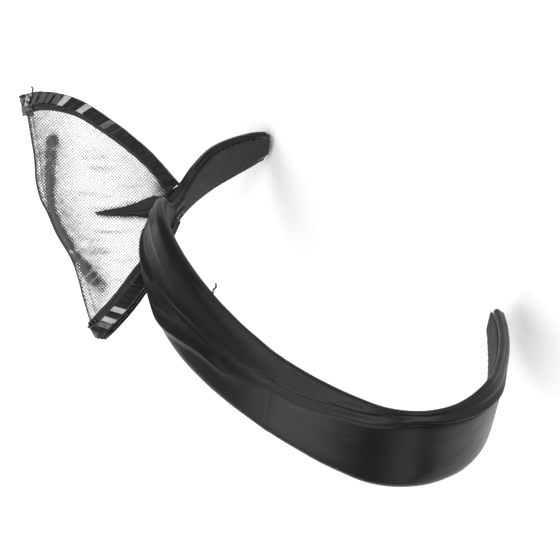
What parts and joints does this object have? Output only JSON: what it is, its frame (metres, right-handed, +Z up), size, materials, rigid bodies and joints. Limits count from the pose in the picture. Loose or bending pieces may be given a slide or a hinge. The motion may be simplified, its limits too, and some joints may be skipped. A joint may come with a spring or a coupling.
{
  "type": "animal ears headband",
  "caption": "Open spring hoop wrapped in black satin, with sheer net ears edged in sequins gathered at one side.",
  "frame": {"origin": "middle of the crown's inner face, where the hoop rests on the head", "axes": "+Z up out of the head at the crown, +X to the plain arm, -Y to the front; the hoop lies in the XZ plane"},
  "size_m": [0.229, 0.0734, 0.1012],
  "materials": {
    "satin": "black polyester satin, soft sheen",
    "lining": "matt black ribbon",
    "spring_strip": "matt",
    "cap_plastic": "matt",
    "wadding": "soft",
    "felt": "felt",
    "knot_cloth": "gathered black net and satin",
    "thread": "twisted polyester",
    "net": "sheer hexagonal net",
    "trim_tape": "satin tape",
    "sequin": "glossy faceted film",
    "wire": "enamelled craft wire"
  },
  "bodies": {
    "crown": {"crown_satin_cover": "satin", "crown_lining_ribbon": "lining", "crown_spring_core": "spring_strip", "crown_wadding": "wadding"},
    "left_arm": {"left_satin_cover": "satin", "left_lining_ribbon": "lining", "left_spring_core": "spring_strip", "left_tip_cap": "cap_plastic", "left_wadding": "wadding", "gather_wrap": "satin", "ear_base_pad": "felt", "centre_knot": "knot_cloth", "knot_thread_turns": "thread"},
    "right_arm": {"right_satin_cover": "satin", "right_lining_ribbon": "lining", "right_spring_core": "spring_strip", "right_tip_cap": "cap_plastic", "right_wadding": "wadding"},
    "front_ear": {"front_ear_gather_binding": "knot_cloth", "front_ear_net": "net", "front_ear_top_trim": "trim_tape", "front_ear_bottom_trim": "trim_tape", "front_ear_top_sequins": "sequin", "front_ear_bottom_sequins": "sequin", "front_ear_top_wire": "wire", "front_ear_bottom_wire": "wire"},
    "rear_ear": {"rear_ear_gather_binding": "knot_cloth", "rear_ear_net": "net", "rear_ear_top_trim": "trim_tape", "rear_ear_bottom_trim": "trim_tape", "rear_ear_top_sequins": "sequin", "rear_ear_bottom_sequins": "sequin", "rear_ear_top_wire": "wire", "rear_ear_bottom_wire": "wire"}
  },
  "joints": [
    {"name": "left_arm_flex", "type": "hinge", "parent": "crown", "child": "left_arm", "pos_m": [-0.01423, 0, 0.0018], "axis": [0, 1, 0], "range_deg": [-4, 8], "stiffness_Nm_per_rad": 2},
    {"name": "right_arm_flex", "type": "hinge", "parent": "crown", "child": "right_arm", "pos_m": [0.01417, 0, 0.00166], "axis": [0, -1, 0], "range_deg": [-4, 8], "stiffness_Nm_per_rad": 2},
    {"name": "front_ear_bend", "type": "hinge", "parent": "left_arm", "child": "front_ear", "pos_m": [-0.09994, -0.0083, -0.04278], "axis": [-0.5304, 0.7182, -0.4503], "range_deg": [0, 22]},
    {"name": "rear_ear_bend", "type": "hinge", "parent": "left_arm", "child": "rear_ear", "pos_m": [-0.09994, -0.0083, -0.04278], "axis": [0.5685, -0.7101, 0.4154], "range_deg": [0, 22]}
  ]
}
